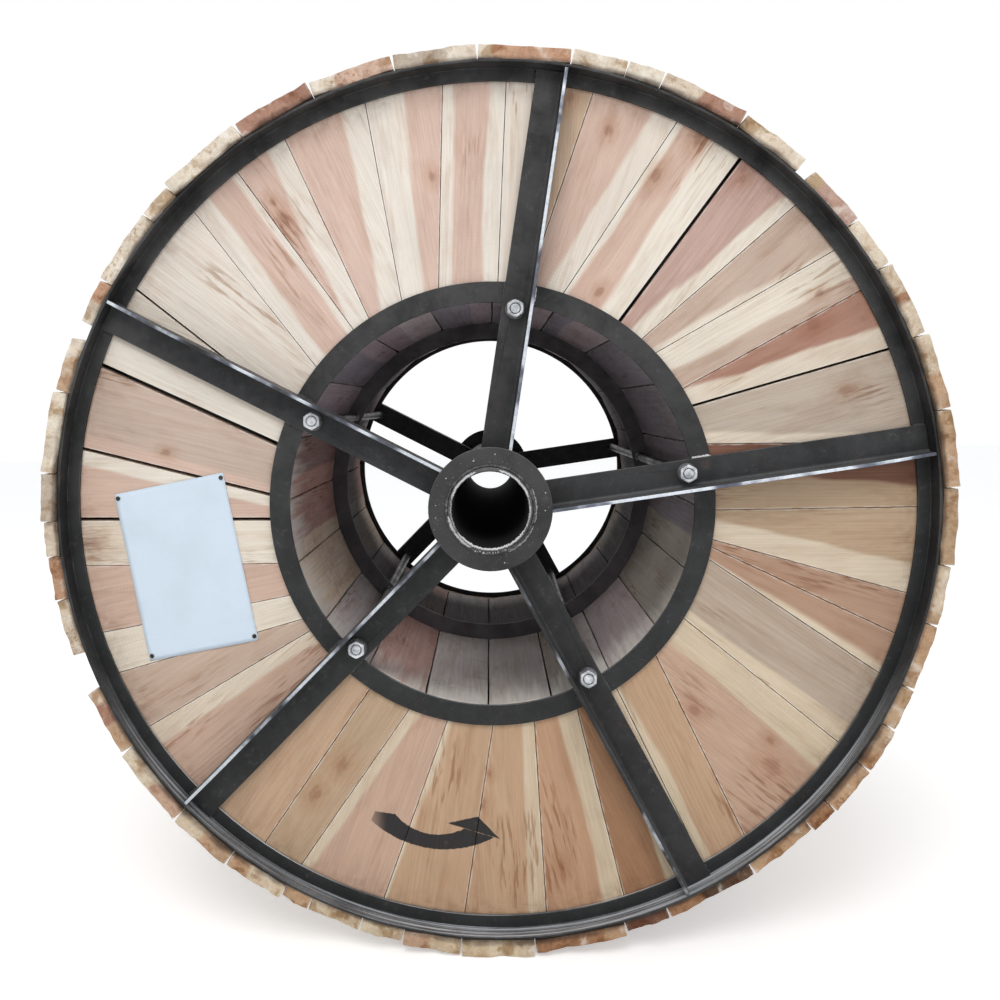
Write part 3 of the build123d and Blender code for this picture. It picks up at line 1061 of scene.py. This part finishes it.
def tie_rods(shaft_metal, washer_metal, nut_metal):
    """Rods with a washer and a chamfered nut in front, and a head behind."""
    shafts, washers, nuts = Mesh(), Mesh(), Mesh()
    seat, thick = 0.435, 0.0030
    base, top = seat + thick, seat + 0.0160
    shaft = [(0.008, -seat - 0.0080), (0.008, seat + 0.0110), (0.0074, seat + 0.0118)]
    washer = [(0.0085, seat), (0.0143, seat), (0.0150, seat + 0.0007),
              (0.0150, base - 0.0006), (0.0145, base), (0.0085, base)]
    nut = [(hexagon(0.0121), base), (hexagon(0.0133), base + 0.0007),
           (hexagon(0.0142), base + 0.0014), (hexagon(0.0142), top - 0.0018),
           (hexagon(0.0130), top - 0.0007), (hexagon(0.0117), top), (0.0090, top),
           (0.0082, top - 0.0010), (0.0082, top - 0.0046)]
    rod_end = [(0.0072, top - 0.0050), (0.0072, top - 0.0016), (0.0058, top - 0.0004)]
    head = [(hexagon(0.0121), seat), (hexagon(0.0142), seat + 0.0012), (hexagon(0.0142), seat + 0.0082),
            (hexagon(0.0130), seat + 0.0093), (hexagon(0.0115), seat + 0.0100)]
    for points in solids_of("tie_rods"):
        centre = ((points.min(0) + points.max(0)) / 2)[[0, 2]]
        for mesh, rows, sides, outward in ((shafts, shaft, 32, -1), (washers, washer, 48, -1),
                                           (nuts, nut, 72, -1), (nuts, rod_end, 32, -1),
                                           (nuts, head, 72, 1)):
            mesh.add(*turned_part(rows, sides, centre, outward))
    for mesh, name, metal in ((shafts, "tie_rod_shafts", shaft_metal),
                              (washers, "tie_rod_washers", washer_metal),
                              (nuts, "tie_rod_nuts", nut_metal)):
        piece = mesh.build(name, metal)
        soft_normals(piece)
        dress(piece, "zinc_steel", "tie_rods")


def bead(mesh, path, radius, chance, light, closed=False):
    """One run of weld along a path, with ripples and uneven width. light says how bare
    of paint it is."""
    total = sum((b - a).length for a, b in zip(path, path[1:]))
    phase = chance.random()
    lumps = [chance.uniform(0.8, 1.2) for _ in range(len(path) + 1)]

    def width(share):
        wave = abs(sin(pi * (share * total / ripple + phase)))
        ends = 1.0 if closed else min(1.0, 0.35 + 6 * min(share, 1 - share))
        return radius * ends * lumps[round(share * len(path))] * (0.86 + 0.25 * wave)

    mesh.add(*swept(path, width, closed), light=light)


def wandering(start, end, chance):
    """Points of a short weld that wanders a little."""
    points = []
    for step in range(weld_steps + 1):
        x, z = (chance.uniform(-weld_stray, weld_stray) for _ in range(2))
        points.append(start.lerp(end, step / weld_steps) + Vector((x, 0, z)))
    return points


def droplet(mesh, angle, radius, size, sign, light):
    """Drop of spatter that stuck to the hub's plate."""
    rows = [(size, hub_face - 0.0004), (size * 0.85, hub_face + size * 0.35),
            (size * 0.35, hub_face + size * 0.62)]
    spot = polar(radius, angle, 0)
    mesh.add(*turned_part(rows, 9, (spot.x, spot.z), sign), light=light)


# First and last angle, radius, thickness and brightness of the runs round the tube
tube_runs = (
    (0, 360, 0.0632, 0.0024, 0.22), (118, 236, 0.0572, 0.0016, 0.95),
    (150, 206, 0.0628, 0.0022, 0.80), (208, 262, 0.0612, 0.0019, 0.62),
    (286, 340, 0.0580, 0.0017, 0.70), (12, 74, 0.0576, 0.0017, 0.78),
    (74, 118, 0.0574, 0.0013, 0.60), (64, 108, 0.0664, 0.0015, 0.42),
    (236, 286, 0.0572, 0.0013, 0.45), (112, 158, 0.0662, 0.0014, 0.45))
tube_end = 0.0036           # height of the tube's end over the hub's plate

# Angle, radius and size of the largest drops of spatter on the hub's plate
hub_drops = (
    (342, 0.074, 0.0017), (306, 0.078, 0.0015), (6, 0.080, 0.0015), (74, 0.083, 0.0016),
    (92, 0.079, 0.0016), (166, 0.080, 0.0015), (275, 0.079, 0.0013), (262, 0.080, 0.0012))
small_drops = 110

# Inner and outer end of the welds of a spoke to the ring and to the rim
crossings = ((ring_inner + 0.001, ring_outer - 0.001), (rim_inner + 0.001, rim_outer - 0.006))


def welds(end, material):
    """Weld runs of one flange: round the tube, and where the spokes cross the rings."""
    mesh = Mesh()
    chance = Random({"front": 91, "rear": 92}[end])
    sign = flanges[end]
    for first, last, radius, thick, light in tube_runs:
        steps = max(12, int((last - first) * 0.9))
        height = hub_face + (tube_end if radius < tube_radius + 0.001 else 0)
        path = [polar(radius + chance.uniform(-0.0007, 0.0007),
                      first + (last - first) * step / steps,
                      sign * (height + chance.uniform(-0.0004, 0.0005)))
                for step in range(steps + (last - first < 360))]
        bead(mesh, path, thick, chance, light, closed=last - first == 360)
    for angle, radius, size in hub_drops:
        droplet(mesh, angle, radius, size * 0.8, sign, 0.6)
    for _ in range(small_drops):
        droplet(mesh, chance.uniform(0, 360), 0.068 + 0.020 * chance.random() ** 1.7,
                chance.uniform(0.0004, 0.0010), sign, chance.uniform(0.0, 0.45))
    y = sign * (flange_face + 0.0006)
    for angle in spoke_angles:
        for across in (spoke_heel - spoke_leg, spoke_heel):
            for low, high in crossings:
                bright = low < rim_inner and (angle, across) in bright_crossings
                path = wandering(beside(angle, across, low, y), beside(angle, across, high, y),
                                 chance)
                bead(mesh, path, 0.0024, chance, 0.9 if bright else 0.12)
    dress(mesh.build("welds_" + end, material), "painted_steel")


def cable(material):
    """Coiled cable: rows of turns that show between the boards, on a plain core."""
    _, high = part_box("cable_winding")
    turns, arcs, sides = 36, 7, 128
    core = 0.3345
    radius = high.y / turns
    rows = [(core, -high.y)]
    for turn in range(turns):
        middle = -high.y + radius * (2 * turn + 1)
        for arc in range(arcs):
            a = pi * (arc + 0.5) / arcs
            rows.append((high.x - radius + radius * sin(a), middle - radius * cos(a)))
    rows.append((core, high.y))
    chance = Random(17)
    slips = [chance.uniform(-0.0014, 0.0) for _ in range(turns + 1)]
    vertices = []
    for row, (r, y) in enumerate(rows):
        if 0 < row < len(rows) - 1:
            r += slips[row // arcs]
        vertices += [(r * cos(a), y, r * sin(a)) for a in circle(sides)]
    faces = quads(len(rows), sides, True, True)
    dress(new_piece("cable_turns", vertices, faces, material), "cable_sheath", "cable_winding")


# Blank sheet on the front planks

pin_inset = 0.055           # share of the way from a corner to the sheet's middle


def sheet_point(corners, u, v, phases, thick):
    """Point of the waving sheet, which lies close to the planks only at its corners."""
    a, b, c, d = corners
    point = a.lerp(b, u).lerp(d.lerp(c, u), v)
    belly = 16 * u * (1 - u) * v * (1 - v)
    curl = (sin(7 * u + phases[0]) * sin(5 * v + phases[1])
            + 0.6 * sin(13 * v + 4 * u + phases[2]))
    free = min(1.0, 6 * max(min(u, 1 - u), min(v, 1 - v)))
    lift = free * (0.0005 + 0.0011 * belly + 0.0009 * (1 + curl) * (0.3 + belly / 2))
    return point.x, -plank_face - 0.0003 - lift - thick, point.z


def sheet_corners():
    """The corners of the CAD sheet's face against the planks, in turn."""
    points = solids_of("paper_sheet")[0]
    flat = points[np.abs(points[:, 1] - points[:, 1].max()) < 1e-4]
    centre = flat.mean(0)
    order = np.argsort(np.arctan2(flat[:, 2] - centre[2], flat[:, 0] - centre[0]))
    return [Vector(flat[i]) for i in order]


def paper_sheet(paper_material, pin_material):
    """Blank sheet that bellies a little between its four pins."""
    corners = sheet_corners()
    columns, rows, thickness = 26, 36, 0.0003
    across = columns + 1
    layer = across * (rows + 1)
    phases = np.random.default_rng(5).uniform(0, 2 * pi, 6)
    vertices = [sheet_point(corners, i / columns, j / rows, phases, thick)
                for thick in (0.0, thickness) for j in range(rows + 1) for i in range(across)]
    faces = quads(rows + 1, across)
    faces += [tuple(layer + v for v in face) for face in flip(faces)]
    border = ([i for i in range(columns)] + [columns + j * across for j in range(rows)]
              + [rows * across + columns - i for i in range(columns)]
              + [(rows - j) * across for j in range(rows)])
    for here, beyond in zip(border, border[1:] + border[:1]):
        faces.append((beyond, here, here + layer, beyond + layer))
    dress(new_piece("sheet_of_paper", vertices, faces, paper_material), "paper", "paper_sheet")

    mesh = Mesh()
    middle = sum(corners, Vector((0, 0, 0))) / 4
    pin = [(0.0008, plank_face - 0.004), (0.0008, plank_face + 0.0014),
           (0.0032, plank_face + 0.0016), (0.0034, plank_face + 0.0022),
           (0.0024, plank_face + 0.0030), (0.0006, plank_face + 0.0033)]
    for corner in corners:
        spot = corner.lerp(middle, pin_inset)
        mesh.add(*turned_part(pin, 20, (spot.x, spot.z), -1))
    dress(mesh.build("paper_pins", pin_material), "zinc_steel")


# Sleeve that joins a strap's ends: place along it and half width at each station
seal_stations = ((-0.0165, 0.0100), (-0.0155, 0.0110), (-0.0085, 0.0110), (-0.0070, 0.0097),
                 (-0.0055, 0.0110), (0.0055, 0.0110), (0.0070, 0.0097), (0.0085, 0.0110),
                 (0.0155, 0.0110), (0.0165, 0.0100))
seal_angle, seal_height, seal_sink = 318.0, 0.0022, 0.0009


def strap_seals(material):
    """One crimped steel sleeve on each strap."""
    mesh = Mesh()
    for end in flanges:
        points = np.array([tuple(v.co) for v in nodes["steel_strap_" + end].data.vertices])
        angles = [abs(turn_between(seal_angle, angle_of(x, z))) for x, _, z in points]
        near = points[np.argsort(angles)[:8]]
        base = np.hypot(near[:, 0], near[:, 2]).max() - seal_sink
        middle = (points[:, 1].min() + points[:, 1].max()) / 2
        vertices = []
        for across, half in seal_stations:
            lift = seal_height if half > 0.0105 else seal_height * 0.75
            section = ((-half, 0), (-half, 0.65 * lift), (0.0007 - half, lift),
                       (half - 0.0007, lift), (half, 0.65 * lift), (half, 0))
            vertices += [beside(seal_angle, across, base + up, middle + y) for y, up in section]
        mesh.add(vertices, flip(tube(len(seal_stations), len(section))))
    piece = mesh.build("strap_seals", material)
    soft_normals(piece)
    dress(piece, "strap_steel")


# CAD nodes that stay

def finish_steel(node, material, bevel=0.0008):
    """Give a CAD node its material, and round its edges a little."""
    piece = nodes[node]
    piece.data.materials.clear()
    piece.data.materials.append(material)
    weld = piece.modifiers.new("weld", "WELD")
    weld.merge_threshold = 0.00001
    if bevel:
        rounding = piece.modifiers.new("edges", "BEVEL")
        rounding.width = bevel
        rounding.segments = 2
        rounding.limit_method = "ANGLE"
        rounding.angle_limit = radians(35)
    soft_normals(piece)


# Light, floor and camera

floor_glow = 0.40           # light added so that the floor away from the shadow is white


def stage():
    """Pale floor under the drum, white to the camera away from the shadow."""
    low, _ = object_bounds()
    reach, cells = 14.0, 24
    steps = [reach * (2 * i / cells - 1) for i in range(cells + 1)]
    vertices = [(x, y, low.z) for y in steps for x in steps]
    s = Shader("floor")
    color = s.mix(s.noise(s.place(), 3, 4), (0.86, 0.86, 0.86), (0.90, 0.90, 0.90))
    material = s.finish(color, 0.9, Emission_Color=(1, 1, 1),
                        Emission_Strength=s.times(s.seen(), floor_glow))
    new_piece("floor", vertices, quads(cells + 1, cells + 1), material)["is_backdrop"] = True


def world(level):
    """Level light from all round, and plain white where the camera looks past the drum."""
    s = Shader("studio", "worlds")
    bpy.context.scene.world = s.owner
    light = s.node("Background", {"Color": (0.96, 0.98, 1.0), "Strength": level})
    white = s.node("Background", {"Color": (1, 1, 1), "Strength": 1.0})
    both = s.node("MixShader", {0: s.seen(), 1: light.outputs[0], 2: white.outputs[0]})
    s.node("OutputWorld", {"Surface": both.outputs[0]})


def lamp(name, place, aim, size, power, color):
    """Square soft lamp that looks at a point."""
    data = bpy.data.lights.new(name, "AREA")
    data.size = size
    data.energy = power
    data.color = color
    piece = new_object(name, data)
    piece.location = place
    piece.rotation_euler = (Vector(aim) - Vector(place)).to_track_quat("-Z", "Y").to_euler()


def camera():
    data = bpy.data.cameras.new("camera")
    data.sensor_width = 36.0
    data.lens = camera_lens
    data.shift_x, data.shift_y = camera_shift
    data.clip_start, data.clip_end = 0.05, 60
    piece = new_object("camera", data)
    piece.matrix_world = (Matrix.Translation(camera_place)
                          @ Matrix.Rotation(camera_yaw, 4, "Z")
                          @ Matrix.Rotation(pi / 2 + camera_pitch, 4, "X")
                          @ Matrix.Rotation(camera_roll, 4, "Z"))
    bpy.context.scene.camera = piece


# Build the drum

plank_wood = wood("plank_wood", streak=0.5, saw=0.5, soil_and_shade=0.8, wear_and_highlight=0.6, mottle=0.35,
                  extra=arrow)
lagging_wood = wood("lagging_wood", streak=0.8, saw=1.0, soil_and_shade=0.8, wear_and_highlight=0.7, mottle=0.75,
                    extra=board_ends)
stave_wood = wood("stave_wood", streak=0.7, saw=0.8, soil_and_shade=1.0, wear_and_highlight=0.5, mottle=0.5,
                  extra=barrel_shade)
weld_metal = welded_metal()
shaft_metal = plain_metal("shaft_metal", (66, 64, 64), (38, 37, 37), 0.4, 0.5)
washer_metal = plain_metal("washer_metal", (100, 100, 102), (62, 60, 60), 0.5, 0.5, 160.0)
nut_metal = plain_metal("nut_metal", (226, 229, 233), (150, 152, 158), 0.45, 0.38, 200.0)
pin_metal = plain_metal("pin_metal", (70, 68, 66), (40, 38, 36), 0.5, 0.5)
strap_metal = plain_metal("strap_metal", (84, 84, 88), (52, 50, 50), 0.55, 0.42, 60)

for end in flanges:
    planks(end, plank_wood)
    welds(end, weld_metal)
lagging(lagging_wood)
staves(stave_wood)
tie_rods(shaft_metal, washer_metal, nut_metal)
cable(cable_sheath())
paper_sheet(paper(), pin_metal)
strap_seals(strap_metal)

# How far each spoke's outer edge is rubbed bright and given a painted highlight, clockwise from the top
# one, and its paint, whose grey differs from spoke to spoke as painted light and shade
rubbed_and_highlit_edges = (0.85, 1.0, 0.40, 0.75, 0.80)
spoke_greys_with_shade = ((30, 31, 33), (38, 39, 41), (38, 38, 39), (35, 36, 37), (40, 41, 44))
rim_paint = painted_steel("rim_paint", (34, 35, 36), dust=1.0)
for end in flanges:
    finish_steel("outer_rim_" + end, rim_paint)
    finish_steel("barrel_ring_" + end, rim_paint)
    finish_steel("steel_strap_" + end, strap_metal, bevel=0)
for number, (bare, grey) in enumerate(zip(rubbed_and_highlit_edges, spoke_greys_with_shade), 1):
    paint = painted_steel(f"spoke_paint_{number}", grey, dust=0.35, bare=bare)
    for end in flanges:
        finish_steel(f"spoke_{end}_{number}", paint)
finish_steel("hub", painted_steel("hub_paint", (46, 46, 47), dust=0.4, extra=hub_marks))
finish_steel("mid_hoop", painted_steel("hoop_paint", (70, 67, 70), dust=0.25), 0.0006)

stage()
world(level=0.62)
lamp("key", (-0.7, -3.6, 3.9), (0, 0, 0), 2.4, 115, (1.0, 0.985, 0.96))
lamp("fill", (2.8, -3.2, 1.2), (0, 0, 0), 2.6, 18, (0.95, 0.97, 1.0))
camera()
bpy.context.scene.view_settings.view_transform = "Standard"
